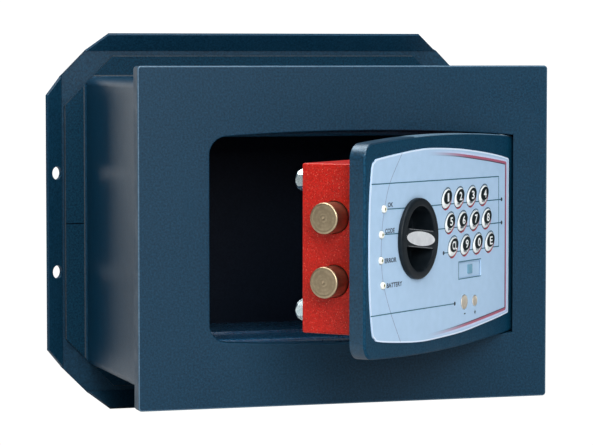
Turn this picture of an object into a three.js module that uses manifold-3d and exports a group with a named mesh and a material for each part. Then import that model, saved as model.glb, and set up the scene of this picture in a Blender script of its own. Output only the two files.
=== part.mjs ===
// Wall safe with an electronic lock, door standing open.
// Millimetres. +X is to the right seen from the front, +Y goes into the wall and +Z is up.
// The parts are laid out with the front plate's outer face at y = 0. The last step moves the whole
// safe forward so that the back face of the rear plate lies at y = 0.
import * as THREE from 'three';
import { mergeVertices } from 'three/addons/utils/BufferGeometryUtils.js';
import Module from 'manifold-3d';

const wasm = await Module();
wasm.setup();

// ---------------------------------------------------------------- driving dimensions
const DEPTH = 208;              // front face of the front plate to back face of the rear plate
const PLATE_T = 12;             // front plate and door are cut from the same plate
const FRONT = { w: 305, h: 240, corner: 2.5 };
const BODY = { w: 285, h: 220, wall: 3, corner: 6 };
const TAB = { w: 17, mitre: 4 };
const REAR = { w: 324, h: 263, t: 3, cut: 20, wing: 15.3, bend: 33, taper: { side: 1.12, top: 1.28 } };
const FIXING = { r: 5, z: 37.7 };

// Opening and door share one barrel outline: straight sides, bowed top and bottom.
const OPEN = { left: -101, right: 126, halfCorner: 71.4, halfMid: 75.6, z: -1.4, corner: 13 };
const GAP = { side: 1.5, bow: 0.9 };
const PIVOT = { x: 118.7, y: 6, pinR: 3, holeR: 3.07, sweep: 9.1, socket: 9.45 };
const DOOR_OPEN = 43;           // degrees the door stands open in the stored pose
const DOOR_LEFT = OPEN.left + GAP.side;

const STOP = { reach: 71.4, depth: 50, sill: 110, step: 1.5, t: 3, height: 25 };
const LABEL = {
  t: 0.8,
  lift: 0.1,
  left: 4,
  right: 119.8,
  middle: -1.5,
  top: { peak: 64.4, at: -8, bow: 0.00085 },
  bottom: { peak: -67.1, at: -1, bow: -0.00075 },
};
const BOX = { inset: 18, length: 182, depth: 45.5, half: 56.5, z: -1.6, wall: 2 };
const BOLT = { r: 10.4, tip: 3, y: 32.9, z: [20.0, -22.5], throw: 17 };
const KNOB = {
  x: DOOR_LEFT + 71.4, z: 3.9, r: 27.6, barrelR: 24.5, holeR: 24.8, tilt: -6, front: -4.6, back: 15,
};
const WELL = { r: 19.4, up: 2.4, start: 12.5, floor: 12 };
const BADGE = { a: 20.6, b: 4.9, proud: 0.2, sunk: 1, slack: 0.3 };
const CAM = { y0: 17, y1: 21, r0: 13, hubR: 12, rimR: 36, pinR: 3, slack: 0.15 };
const KEYPAD = { x0: 17.9, z0: 28.6, dx: 19.5, dz: 16.9, lean: 5.07, a: 7.9, b: 5.5, turn: 41, top: -2.1 };
const LEDS = [[24.2, 26.1], [20.6, 9.3], [19.9, -7.7], [22.8, -24.4]];
const COVER = { x0: 37, x1: 72.5, z0: -28, z1: -17, slide: 13, ribX: 56 };
const CONTACTS = [[46.1, -45.1, 5], [62.9, -45.4, 3.75]];
const HEXES = [[DOOR_LEFT + 30, 43.8], [DOOR_LEFT + 30, -43.8], [92, 43.8], [92, -43.8]];

// ---------------------------------------------------------------- materials
const look = (color, roughness, metalness) => new THREE.MeshStandardMaterial({ color, roughness, metalness });
const LOOK = {
  slate: look(0x1d3446, 0.55, 0.1),
  door: look(0x1c4256, 0.5, 0.1),
  red: look(0xb92218, 0.5, 0.1),
  nickel: look(0xb9ad90, 0.3, 0.9),
  zinc: look(0xb9c6c6, 0.3, 0.9),
  steel: look(0x9aa0a4, 0.4, 0.9),
  brass: look(0xb89a5a, 0.35, 0.9),
  label: look(0xa9c8e6, 0.4, 0.0),
  black: look(0x14171a, 0.45, 0.0),
  silver: look(0xd4d8da, 0.3, 0.6),
  white: look(0xe9e9e4, 0.4, 0.0),
  board: look(0x2e6b3c, 0.5, 0.0),
  cell: look(0x2c2f33, 0.4, 0.3),
};

// ---------------------------------------------------------------- solids
// A closed geometry with shared corners, as the boolean library wants it.
const solid = (geometry) => {
  const g = geometry.index ? geometry : geometry.clone();
  g.deleteAttribute('normal');
  g.deleteAttribute('uv');
  const merged = mergeVertices(g, 1e-4);
  return new wasm.Manifold(new wasm.Mesh({
    numProp: 3,
    vertProperties: Float32Array.from(merged.attributes.position.array),
    triVerts: Uint32Array.from(merged.index.array),
  }));
};

const outline = (points, holes = []) => {
  const shape = new THREE.Shape(points.map(([a, b]) => new THREE.Vector2(a, b)));
  for (const hole of holes) {
    shape.holes.push(new THREE.Path(hole.map(([a, b]) => new THREE.Vector2(a, b))));
  }
  return shape;
};

const extrude = (points, length, holes) =>
  new THREE.ExtrudeGeometry(outline(points, holes), { depth: length, bevelEnabled: false, curveSegments: 1 });

// Outline in x, z, running from y0 to y1.
const alongY = (points, y0, y1, holes) =>
  solid(extrude(points, y1 - y0, holes).rotateX(Math.PI / 2).translate(0, y1, 0));

// Outline in x, y, running from z0 to z1.
const alongZ = (points, z0, z1, holes) => solid(extrude(points, z1 - z0, holes).translate(0, 0, z0));

// Outline in y, z, running from x0 to x1.
const alongX = (points, x0, x1, holes) => {
  const turn = new THREE.Matrix4().set(0, 0, 1, 0, 1, 0, 0, 0, 0, 1, 0, 0, 0, 0, 0, 1);
  return solid(extrude(points, x1 - x0, holes).applyMatrix4(turn).translate(x0, 0, 0));
};

const circle = (cx, cy, r, n = 32) => {
  const points = [];
  for (let i = 0; i < n; i += 1) {
    const a = (2 * Math.PI * (i + 0.5)) / n;
    points.push([cx + r * Math.cos(a), cy + r * Math.sin(a)]);
  }
  return points;
};

const ellipse = (cx, cy, a, b, degrees, n = 18) => {
  const t = THREE.MathUtils.degToRad(degrees);
  return circle(0, 0, 1, n).map(([u, v]) => [
    cx + a * u * Math.cos(t) - b * v * Math.sin(t),
    cy + a * u * Math.sin(t) + b * v * Math.cos(t),
  ]);
};

const rect = (x0, y0, x1, y1) => [[x0, y0], [x1, y0], [x1, y1], [x0, y1]];

const roundRect = (x0, y0, x1, y1, r, n = 4) => {
  const points = [];
  const corners = [[x1 - r, y1 - r, 0], [x0 + r, y1 - r, 90], [x0 + r, y0 + r, 180], [x1 - r, y0 + r, 270]];
  for (const [cx, cy, start] of corners) {
    for (let i = 0; i <= n; i += 1) {
      const a = THREE.MathUtils.degToRad(start + (90 * i) / n);
      points.push([cx + r * Math.cos(a), cy + r * Math.sin(a)]);
    }
  }
  return points;
};

const cylinderY = (x, z, r, y0, y1, n = 32) => alongY(circle(x, z, r, n), y0, y1);
const boxOf = (x0, y0, z0, x1, y1, z1) => alongZ(rect(x0, y0, x1, y1), z0, z1);

// ---------------------------------------------------------------- barrel outline of opening and door
// Counter-clockwise seen in x, z. The left corners are rounded, the right ones nearly square.
const barrel = ({ left, right, halfCorner, halfMid, z, corner }, steps = 14) => {
  const mid = (left + right) / 2;
  const halfWidth = (right - left) / 2;
  const bow = halfMid - halfCorner;
  const height = (x) => halfCorner + bow * (1 - ((x - mid) / halfWidth) ** 2);
  const slope = (x) => (-2 * bow * (x - mid)) / halfWidth ** 2;
  const cx = left + corner;
  const tilt = Math.atan(slope(cx));
  const cz = height(cx) - corner / Math.cos(tilt);
  const top = [];
  for (let i = 0; i <= 7; i += 1) {
    const a = Math.PI - ((Math.PI / 2 - tilt) * i) / 7;
    top.push([cx + corner * Math.cos(a), cz + corner * Math.sin(a)]);
  }
  const start = top[top.length - 1][0];
  for (let i = 1; i <= steps; i += 1) {
    const x = start + ((right - start) * i) / steps;
    top.push([x, height(x)]);
  }
  const bottom = top.map(([x, h]) => [x, -h]);
  return [...top.reverse(), ...bottom].map(([x, h]) => [x, h + z]);
};

const OPENING = barrel(OPEN);
const DOOR_EDGE = barrel({
  left: DOOR_LEFT,
  right: PIVOT.x + PIVOT.sweep,
  halfCorner: OPEN.halfCorner - GAP.bow,
  halfMid: OPEN.halfMid - GAP.bow,
  z: OPEN.z,
  corner: OPEN.corner - GAP.side,
});

// ---------------------------------------------------------------- assembly helpers
const group = new THREE.Group();
const hingeLine = new THREE.Vector3(PIVOT.x, PIVOT.y, 0);
const swing = new THREE.Matrix4().makeTranslation(hingeLine.x, hingeLine.y, 0)
  .multiply(new THREE.Matrix4().makeRotationZ(THREE.MathUtils.degToRad(DOOR_OPEN)))
  .multiply(new THREE.Matrix4().makeTranslation(-hingeLine.x, -hingeLine.y, 0));
const settle = new THREE.Matrix4().makeTranslation(0, -DEPTH, 0);

const place = (name, body, material, matrix) => {
  const mesh = body.getMesh();
  const geometry = new THREE.BufferGeometry();
  const corners = [];
  for (let i = 0; i < mesh.vertProperties.length; i += mesh.numProp) {
    corners.push(mesh.vertProperties[i], mesh.vertProperties[i + 1], mesh.vertProperties[i + 2]);
  }
  geometry.setAttribute('position', new THREE.Float32BufferAttribute(corners, 3));
  geometry.setIndex(new THREE.Uint32BufferAttribute(Array.from(mesh.triVerts), 1));
  geometry.applyMatrix4(matrix);
  geometry.computeVertexNormals();
  const part = new THREE.Mesh(geometry, LOOK[material].clone());
  part.name = name;
  group.add(part);
};

const fixed = (name, body, material) => place(name, body, material, settle);
const onDoor = (name, body, material) =>
  place(name, body, material, new THREE.Matrix4().multiplyMatrices(settle, swing));

// ---------------------------------------------------------------- front plate
// The opening's hinge side is hollowed out about the pin, and the door's round edge turns in it.
const pinSpan = [57.8, 84];
const hingeHoles = (z0, z1) => alongZ(circle(PIVOT.x, PIVOT.y, PIVOT.holeR, 24), z0, z1);
const half = { x: FRONT.w / 2, z: FRONT.h / 2 };
fixed('front_plate',
  alongY(roundRect(-half.x, -half.z, half.x, half.z, FRONT.corner), 0, PLATE_T, [OPENING])
    .subtract(alongZ(
      circle(PIVOT.x, PIVOT.y, PIVOT.socket, 64), OPEN.z - OPEN.halfCorner, OPEN.z + OPEN.halfCorner,
    ))
    .subtract(hingeHoles(60, pinSpan[1] + 0.3))
    .subtract(hingeHoles(-pinSpan[1] - 0.3, -60)),
  'slate');
const pinSection = circle(PIVOT.x, PIVOT.y, PIVOT.pinR, 24);
fixed('hinge_pin_top', alongZ(pinSection, pinSpan[0], pinSpan[1]), 'steel');
fixed('hinge_pin_bottom', alongZ(pinSection, -pinSpan[1], -pinSpan[0]), 'steel');

// ---------------------------------------------------------------- body shell with folded rear tabs
const bx = BODY.w / 2;
const bz = BODY.h / 2;
const shellEnd = DEPTH - REAR.t - 0.3;
const mitred = (along, across) => [
  [-along + TAB.mitre, across - BODY.wall],
  [along - TAB.mitre, across - BODY.wall],
  [along - TAB.mitre, across],
  [along - TAB.mitre - TAB.w, across + TAB.w],
  [-along + TAB.mitre + TAB.w, across + TAB.w],
  [-along + TAB.mitre, across],
];
const inner = { x: bx - BODY.wall, z: bz - BODY.wall };
const bore = roundRect(-inner.x, -inner.z, inner.x, inner.z, BODY.corner - BODY.wall);
let shell = alongY(roundRect(-bx, -bz, bx, bz, BODY.corner), PLATE_T + 0.1, shellEnd)
  .subtract(alongY(bore, 0, DEPTH));
const tabs = [
  mitred(bx, bz),
  mitred(bx, bz).map(([a, b]) => [-a, -b]),
  mitred(bz, bx).map(([a, b]) => [b, -a]),
  mitred(bz, bx).map(([a, b]) => [-b, a]),
];
for (const tab of tabs) {
  shell = shell.add(alongY(tab, shellEnd - BODY.wall, shellEnd));
}
fixed('body_shell', shell, 'slate');

// ---------------------------------------------------------------- rear plate with four forward wings
const bend = THREE.MathUtils.degToRad(REAR.bend);
const wingProfile = (halfFlat) => {
  const out = REAR.wing * Math.cos(bend);
  const up = REAR.wing * Math.sin(bend);
  const inset = REAR.t * Math.tan(bend / 2);
  const lip = [REAR.t * Math.sin(bend), REAR.t * Math.cos(bend)];
  const right = [
    [halfFlat, DEPTH],
    [halfFlat + out, DEPTH - up],
    [halfFlat + out - lip[0], DEPTH - up - lip[1]],
    [halfFlat - inset, DEPTH - REAR.t],
  ];
  return [...right, ...right.map(([a, y]) => [-a, y]).reverse()];
};
const wingReach = REAR.wing * Math.cos(bend);
const trim = (flat, along, taper) => [
  [-flat - wingReach - 1, along - REAR.cut - taper * (wingReach + 1)],
  [-flat, along - REAR.cut],
  [flat, along - REAR.cut],
  [flat + wingReach + 1, along - REAR.cut - taper * (wingReach + 1)],
];
const mirrored = (points) => [...points, ...points.map(([a, b]) => [a, -b]).reverse()];
const fx = REAR.w / 2;
const fz = REAR.h / 2;
const sideTrim = mirrored(trim(fx, fz, REAR.taper.side)).reverse();
const topTrim = mirrored(trim(fz, fx, REAR.taper.top)).map(([a, b]) => [b, a]);
const sideWings = alongZ(wingProfile(fx), -fz, fz).intersect(alongY(sideTrim, 0, DEPTH + 1));
const topWings = alongX(wingProfile(fz).map(([a, y]) => [y, a]).reverse(), -fx, fx)
  .intersect(alongY(topTrim, 0, DEPTH + 1));
const flat = [
  [fx, fz - REAR.cut], [fx - REAR.cut, fz], [-fx + REAR.cut, fz], [-fx, fz - REAR.cut],
  [-fx, -fz + REAR.cut], [-fx + REAR.cut, -fz], [fx - REAR.cut, -fz], [fx, -fz + REAR.cut],
];
let rear = alongY(flat, DEPTH - REAR.t, DEPTH).add(sideWings).add(topWings);
for (const side of [-1, 1]) {
  for (const z of [-FIXING.z, FIXING.z]) {
    const drill = new THREE.CylinderGeometry(FIXING.r, FIXING.r, 30, 32, 1).rotateZ(side * bend)
      .translate(side * (fx + wingReach / 2 - 1), DEPTH - (REAR.wing * Math.sin(bend)) / 2 - 1.5, z);
    rear = rear.subtract(solid(drill));
  }
}
fixed('rear_plate', rear, 'slate');

// ---------------------------------------------------------------- door stops and bolt keeper
// Each stop is an angle: one leg lies behind the front plate, the other runs back into the body.
// The lower one is deeper, as a sill with a small step up across it.
const stopFront = PLATE_T + 0.3;
const stopLeg = (sign, inside) => {
  const z = OPEN.z + sign * STOP.reach;
  const outside = inside.map(([y, h]) => [y, h + sign * STOP.t]).reverse();
  const points = [
    [stopFront + 2, z], ...inside, ...outside,
    [stopFront + STOP.t, z + sign * STOP.t], [stopFront + STOP.t, z + sign * STOP.height],
    [stopFront, z + sign * STOP.height], [stopFront, z + sign * 2], [stopFront + 0.6, z + sign * 0.6],
  ];
  return alongX(sign > 0 ? points : points.reverse(), OPEN.left + 1, OPEN.right - 2);
};
const stopHigh = OPEN.z + STOP.reach;
const stopLow = OPEN.z - STOP.reach;
const sill = [
  [STOP.depth, stopLow], [STOP.depth, stopLow + STOP.step], [STOP.sill, stopLow + STOP.step],
];
fixed('door_stop_top', stopLeg(1, [[stopFront + STOP.depth, stopHigh]]), 'slate');
fixed('door_stop_bottom', stopLeg(-1, sill), 'slate');
const keeperX = OPEN.left - 1;
fixed('bolt_keeper',
  alongZ([
    [keeperX - 22, PLATE_T + 0.3], [keeperX, PLATE_T + 0.3], [keeperX, BOLT.y - BOLT.r - 0.6],
    [keeperX - 3, BOLT.y - BOLT.r - 0.6], [keeperX - 3, PLATE_T + 3.3], [keeperX - 22, PLATE_T + 3.3],
  ], -50, 48),
  'steel');

// ---------------------------------------------------------------- door plate
const doorPlan = [[DOOR_LEFT - 1, 0]];
const edgeTurn = Math.asin(PIVOT.y / PIVOT.sweep);
for (let i = 0; i <= 10; i += 1) {
  const a = -edgeTurn + (2 * edgeTurn * i) / 10;
  doorPlan.push([PIVOT.x + PIVOT.sweep * Math.cos(a), PIVOT.y + PIVOT.sweep * Math.sin(a)]);
}
doorPlan.push([DOOR_LEFT - 1, PLATE_T]);

// Pocket in the door's face for the key board, and a shallow pocket for the sliding cover.
const keyArea = [[6.8, 38], [6.8, 8], [16.8, -15.2], [97, -15.2], [97, 12], [88, 38]];
const keyBoard = [[7.2, 37.6], [7.2, 8.2], [17.1, -14.8], [96.6, -14.8], [96.6, 11.9], [87.7, 37.6]];
const coverPocket = rect(COVER.x0 - 1, COVER.z0 - 1, COVER.x1 + COVER.slide + 2, COVER.z1 + 0.7);
const keyLockX = COVER.x0 + 6.5;
const keyLockZ = (COVER.z0 + COVER.z1) / 2;
let door = alongY(DOOR_EDGE, 0, PLATE_T).intersect(alongZ(doorPlan, -90, 90))
  .subtract(hingeHoles(pinSpan[0] - 0.3, 90))
  .subtract(hingeHoles(-90, -pinSpan[0] + 0.3))
  .subtract(cylinderY(KNOB.x, KNOB.z, KNOB.holeR, -1, PLATE_T + 1, 48))
  .subtract(alongY(keyArea, -1, 8))
  .subtract(alongY(coverPocket, -1, 2))
  .subtract(cylinderY(keyLockX, keyLockZ, 4.6, 1, PLATE_T + 1, 28))
  .subtract(boxOf(60, 7, 0, 72, PLATE_T + 1, 8));
for (const [e, z] of LEDS) {
  door = door.subtract(cylinderY(DOOR_LEFT + e, z, 2.8, -1, 8, 14));
}
for (const [x, z, r] of CONTACTS) {
  door = door.subtract(cylinderY(x, z, r + 0.3, -1, 6, 20));
}
onDoor('door_plate', door, 'door');

// ---------------------------------------------------------------- control label
const labelLeft = DOOR_LEFT + LABEL.left;
const labelEdge = ({ peak, at, bow }) => {
  const points = [];
  for (let i = 0; i <= 14; i += 1) {
    const x = LABEL.right + ((labelLeft + 14 - LABEL.right) * i) / 14;
    points.push([x, peak - bow * (x - at) ** 2]);
  }
  const end = points[14][1];
  const down = Math.sign(end);
  points.push([labelLeft + 9, end - down * 1.2], [labelLeft + 6, end - down * 4]);
  for (let i = 1; i <= 4; i += 1) {
    const z = end - down * 7 - ((end - down * 7 - LABEL.middle) * i) / 5;
    points.push([labelLeft + 0.0016 * (z - LABEL.middle) ** 2, z]);
  }
  return points;
};
const labelOutline = [
  ...labelEdge(LABEL.top), [labelLeft, LABEL.middle], ...labelEdge(LABEL.bottom).reverse(),
];
const keySpots = [];
for (let row = 0; row < 3; row += 1) {
  for (let column = 0; column < 4; column += 1) {
    keySpots.push([
      KEYPAD.x0 + KEYPAD.dx * column + KEYPAD.lean * row,
      KEYPAD.z0 - KEYPAD.dz * row,
    ]);
  }
}
const labelHoles = [
  ...keySpots.map(([x, z]) => ellipse(x, z, KEYPAD.a + 0.3, KEYPAD.b + 0.3, KEYPAD.turn)),
  ...LEDS.map(([e, z]) => circle(DOOR_LEFT + e, z, 2.8, 14)),
  ...CONTACTS.map(([x, z, r]) => circle(x, z, r + 0.3, 20)),
  circle(KNOB.x, KNOB.z, KNOB.holeR, 48),
  rect(COVER.x0, COVER.z0, COVER.x1, COVER.z1),
];
onDoor('control_label', alongY(labelOutline, -LABEL.lift - LABEL.t, -LABEL.lift, labelHoles), 'label');

// ---------------------------------------------------------------- keys, lamps, contacts, cover
// A key has a cap that stands above the label and a wider foot below it, just clear of the board.
const keyNames = ['1', '2', '3', '4', '5', '6', '7', '8', 'clear', '9', '0', 'enter'];
keySpots.forEach(([x, z], i) => {
  const cap = alongY(ellipse(x, z, KEYPAD.a, KEYPAD.b, KEYPAD.turn), KEYPAD.top, 4.6);
  const foot = alongY(ellipse(x, z, KEYPAD.a + 0.6, KEYPAD.b + 0.6, KEYPAD.turn), 0.4, 2.4);
  onDoor(`key_${keyNames[i]}`, cap.add(foot), 'white');
});
LEDS.forEach(([e, z], i) => {
  const dome = new THREE.SphereGeometry(2.4, 14, 8).scale(1, 0.7, 1).translate(DOOR_LEFT + e, -0.9, z);
  const lamp = solid(dome).add(cylinderY(DOOR_LEFT + e, z, 2.5, -1.1, 7.5, 14));
  onDoor(`lamp_${['ok', 'code', 'error', 'battery'][i]}`, lamp, 'white');
});
CONTACTS.forEach(([x, z, r], i) => {
  onDoor(`battery_contact_${['minus', 'plus'][i]}`, cylinderY(x, z, r, -1.2, 5.7, 20), 'brass');
});
let cover = alongY(rect(COVER.x0 - 0.6, COVER.z0 - 0.7, COVER.x1 + 1.6, COVER.z1 + 0.4), 0.3, 1.7);
for (const x of [-2.4, 0, 2.4]) {
  cover = cover.add(alongY(rect(COVER.ribX + x - 0.6, -25.8, COVER.ribX + x + 0.6, -19.3), -0.9, 1));
}
onDoor('keyhole_cover', cover, 'label');
const emergencyLock = cylinderY(keyLockX, keyLockZ, 4.5, 2.2, 38, 28)
  .add(cylinderY(keyLockX, keyLockZ, 8, 12.2, 20, 28))
  .subtract(boxOf(keyLockX - 0.8, 1, keyLockZ - 3.4, keyLockX + 0.8, 14, keyLockZ + 3.4));
onDoor('emergency_lock', emergencyLock, 'brass');
onDoor('key_board', alongY(keyBoard, 5.6, 7.2), 'board');

// ---------------------------------------------------------------- bolt box on the back of the door
const boxLeft = DOOR_LEFT + BOX.inset;
const boxRight = boxLeft + BOX.length;
const boxFront = PLATE_T + 0.3;
const boxBack = PLATE_T + BOX.depth;
const boxLow = BOX.z - BOX.half;
const boxHigh = BOX.z + BOX.half;
let boltBox = boxOf(boxLeft, boxFront, boxLow, boxRight, boxBack, boxHigh)
  .subtract(boxOf(
    boxLeft + BOX.wall, 0, boxLow + BOX.wall,
    boxRight - BOX.wall, boxBack - BOX.wall, boxHigh - BOX.wall,
  ));
for (const z of BOLT.z) {
  boltBox = boltBox.subtract(alongX(circle(BOLT.y, z, BOLT.r + 0.4, 40), boxLeft - 1, boxLeft + 3));
}
for (const [x, z] of HEXES) {
  boltBox = boltBox.subtract(cylinderY(x, z, 4.3, boxBack - 4, boxBack + 1, 16));
}
onDoor('bolt_box', boltBox, 'red');

const chassis = { y0: 46.4, y1: 48.4 };
HEXES.forEach(([x, z], i) => {
  const post = cylinderY(x, z, 5.5, PLATE_T + 0.2, chassis.y0 - 0.2, 20)
    .subtract(cylinderY(x, z, 4.25, 30, 60, 16));
  onDoor(`post_${i + 1}`, post, 'steel');
  const washer = cylinderY(x, z, 8, boxBack + 0.2, boxBack + 1.8, 24);
  const head = cylinderY(x, z, 7.5, boxBack + 1.7, boxBack + 8.2, 6);
  const crown = new THREE.CylinderGeometry(6.4, 10.1, 6.5, 24, 1).translate(x, boxBack + 4.95, z);
  const shank = cylinderY(x, z, 4, 32, boxBack + 1, 16);
  onDoor(`hex_bolt_${i + 1}`, head.intersect(solid(crown)).add(washer).add(shank), 'zinc');
});

// ---------------------------------------------------------------- lock works
let plate = alongY(rect(boxLeft + 3, boxLow + 3, boxRight - 3, boxHigh - 3), chassis.y0, chassis.y1)
  .subtract(cylinderY(KNOB.x, KNOB.z, 5.15, 40, 60, 28));
for (const [x, z] of HEXES) {
  plate = plate.subtract(cylinderY(x, z, 4.3, 40, 60, 16));
}
onDoor('lock_chassis', plate, 'steel');

const carriage = { x0: boxLeft + BOX.wall + BOLT.throw + 1.3, bar: 6, tailX: DOOR_LEFT + 65, y0: 25, y1: 28 };
const barRight = carriage.x0 + carriage.bar;
const followerX = KNOB.x - CAM.r0;
const tongue = [
  [barRight - 1, -14], [followerX - 7, -14], [followerX - 7, -9], [followerX + 1, -9],
  [followerX + 1, -14], [carriage.tailX, -14], [carriage.tailX, 22], [barRight - 1, 22],
];
const carriageBody = boxOf(carriage.x0, 23, -36, barRight, 45.4, 34)
  .add(alongY(tongue, carriage.y0, carriage.y1))
  .add(cylinderY(followerX, KNOB.z, CAM.pinR, CAM.y0, carriage.y0 + 1, 24));
onDoor('bolt_carriage', carriageBody, 'steel');
BOLT.z.forEach((z, i) => {
  const x0 = DOOR_LEFT + BOLT.tip;
  const nose = alongX(circle(BOLT.y, z, BOLT.r, 40), x0 + 0.6, carriage.x0 - 0.2);
  const tip = alongX(circle(BOLT.y, z, BOLT.r - 0.6, 40), x0, x0 + 1);
  onDoor(`bolt_${['upper', 'lower'][i]}`, nose.add(tip), 'nickel');
});

// The cam's slot is a spiral that rises evenly with the turn, so the bolts move in step with the knob.
const quarter = Math.PI / 2;
const rise = BOLT.throw / quarter;
const camSlot = (offset) => {
  const points = [];
  for (let i = -2; i <= 26; i += 1) {
    const turn = (quarter * i) / 24;
    const r = CAM.r0 + rise * turn;
    const a = Math.PI - turn;
    const along = Math.atan2(rise, r);
    const normal = a + along;
    points.push([r * Math.cos(a) + offset * Math.cos(normal), r * Math.sin(a) + offset * Math.sin(normal)]);
  }
  return points;
};
const slotHalf = CAM.pinR + CAM.slack;
const slotOutline = [...camSlot(slotHalf), ...camSlot(-slotHalf).reverse()]
  .map(([x, z]) => [x + KNOB.x, z + KNOB.z]);
const slotEnds = [camSlot(0)[0], camSlot(0).at(-1)].map(([x, z]) => [x + KNOB.x, z + KNOB.z]);
const camEdge = [];
for (let i = 0; i <= 20; i += 1) {
  const a = THREE.MathUtils.degToRad(68 + (130 * i) / 20);
  camEdge.push([KNOB.x + CAM.rimR * Math.cos(a), KNOB.z + CAM.rimR * Math.sin(a)]);
}
for (let i = 0; i <= 8; i += 1) {
  const a = THREE.MathUtils.degToRad(240 + (150 * i) / 8);
  camEdge.push([KNOB.x + CAM.hubR * Math.cos(a), KNOB.z + CAM.hubR * Math.sin(a)]);
}
let cam = alongY(camEdge, CAM.y0, CAM.y1)
  .subtract(alongY(slotOutline, CAM.y0 - 1, CAM.y1 + 1))
  .subtract(cylinderY(KNOB.x, KNOB.z, 5.2, CAM.y0 - 1, CAM.y1 + 1, 28));
for (const [x, z] of slotEnds) {
  cam = cam.subtract(cylinderY(x, z, slotHalf, CAM.y0 - 1, CAM.y1 + 1, 20));
}
onDoor('cam', cam, 'steel');

const solenoidX = followerX - 3;
const solenoidY = (carriage.y0 + carriage.y1) / 2;
const solenoidBody = boxOf(solenoidX - 10.5, 21.6, -42, solenoidX + 10.5, chassis.y0 - 0.3, -19)
  .subtract(alongZ(circle(solenoidX, solenoidY, 3.2, 20), -32, -10));
onDoor('solenoid', solenoidBody, 'steel');
onDoor('solenoid_plunger', alongZ(circle(solenoidX, solenoidY, 3, 20), -26.4, -14.6), 'zinc');
onDoor('control_board', boxOf(16, 42, 12, 78, 43.6, 48)
  .add(boxOf(22, 38, 20, 36, 42.5, 34))
  .add(boxOf(44, 36, 18, 54, 42.5, 40))
  .add(boxOf(60, 39, 26, 72, 42.5, 42)), 'board');
onDoor('battery_tray', boxOf(50, 28, -52, 86, 45.8, 6).subtract(boxOf(52, 20, -50, 84, 44, 4)), 'black');
for (let i = 0; i < 2; i += 1) {
  const x = 59.4 + i * 17.2;
  const cell = alongZ(circle(x, 36, 7.2, 24), -49.5, 1.2).add(alongZ(circle(x, 36, 2.6, 16), 1, 2.8));
  onDoor(`cell_${i + 1}`, cell, 'cell');
}

// ---------------------------------------------------------------- knob
// Dished turn knob: a ring with two D-shaped wells and a grip bar across the middle.
const well = (sign) => {
  const points = [];
  for (let i = 0; i <= 16; i += 1) {
    const a = THREE.MathUtils.degToRad(WELL.start + ((180 - 2 * WELL.start) * i) / 16);
    points.push([WELL.r * Math.cos(a), WELL.up + WELL.r * Math.sin(a)]);
  }
  const turn = THREE.MathUtils.degToRad(KNOB.tilt);
  return points.map(([u, v]) => [
    KNOB.x + sign * (u * Math.cos(turn) - v * Math.sin(turn)),
    KNOB.z + sign * (u * Math.sin(turn) + v * Math.cos(turn)),
  ]);
};
const knob = cylinderY(KNOB.x, KNOB.z, KNOB.r, KNOB.front + 0.8, -1.2, 48)
  .add(cylinderY(KNOB.x, KNOB.z, KNOB.r - 0.9, KNOB.front, -1.2, 48))
  .add(cylinderY(KNOB.x, KNOB.z, KNOB.barrelR, -1.3, KNOB.back, 48))
  .subtract(alongY(well(1), KNOB.front - 1, WELL.floor))
  .subtract(alongY(well(-1), KNOB.front - 1, WELL.floor))
  .subtract(alongY(
    ellipse(KNOB.x, KNOB.z, BADGE.a + BADGE.slack, BADGE.b + BADGE.slack, KNOB.tilt, 36),
    KNOB.front - 1, KNOB.front + BADGE.sunk + 0.1,
  ));
onDoor('knob', knob, 'black');
onDoor('knob_badge',
  alongY(
    ellipse(KNOB.x, KNOB.z, BADGE.a, BADGE.b, KNOB.tilt, 36),
    KNOB.front - BADGE.proud, KNOB.front + BADGE.sunk,
  ),
  'silver');
onDoor('spindle', cylinderY(KNOB.x, KNOB.z, 5, KNOB.back + 0.1, 52, 28), 'steel');

export default group;
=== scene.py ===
import math

import bmesh
import bpy
from mathutils import Matrix, Vector
from mathutils.geometry import tessellate_polygon


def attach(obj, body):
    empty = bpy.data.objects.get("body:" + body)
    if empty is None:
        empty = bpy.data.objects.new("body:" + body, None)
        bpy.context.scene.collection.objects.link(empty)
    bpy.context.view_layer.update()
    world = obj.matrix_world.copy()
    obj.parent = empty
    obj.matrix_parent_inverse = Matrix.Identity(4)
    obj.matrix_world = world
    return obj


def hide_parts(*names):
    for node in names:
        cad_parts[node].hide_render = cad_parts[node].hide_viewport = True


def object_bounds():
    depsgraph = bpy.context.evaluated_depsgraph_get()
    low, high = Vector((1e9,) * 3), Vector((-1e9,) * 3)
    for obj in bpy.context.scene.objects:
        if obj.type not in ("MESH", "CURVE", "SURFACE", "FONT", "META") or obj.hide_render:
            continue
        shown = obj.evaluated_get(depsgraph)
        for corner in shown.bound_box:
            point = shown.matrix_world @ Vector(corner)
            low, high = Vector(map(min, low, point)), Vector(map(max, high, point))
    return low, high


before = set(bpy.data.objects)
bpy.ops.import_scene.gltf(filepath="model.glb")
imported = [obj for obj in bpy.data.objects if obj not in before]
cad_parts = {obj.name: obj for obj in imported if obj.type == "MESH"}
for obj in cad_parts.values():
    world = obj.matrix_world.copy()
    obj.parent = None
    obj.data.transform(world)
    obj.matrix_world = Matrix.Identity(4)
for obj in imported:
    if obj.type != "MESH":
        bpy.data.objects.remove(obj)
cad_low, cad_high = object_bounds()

# Wall safe with an electronic lock, door standing open.
# Lengths in the builders below are millimetres in the layout of the CAD: +X right, +Y into the wall,
# +Z up, with the front plate's outer face at y = 0. Door pieces are laid out with the door shut.
MM = 0.001
DEPTH = 208
PLATE_HALF = (152.5, 120)
PLATE_THICK = 12
BODY_HALF = (142.5, 110)
BODY_WALL = 3
PIVOT = (118.7, 6.0)
DOOR_ANGLE = 43
DOOR_LEFT = -99.5
DOOR_THICK = 12
KNOB = (DOOR_LEFT + 71.4, 3.9)
KNOB_HOLE = 24.8
LOCK = (43.5, -22.5)
BOLT_Y = 32.9
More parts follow.
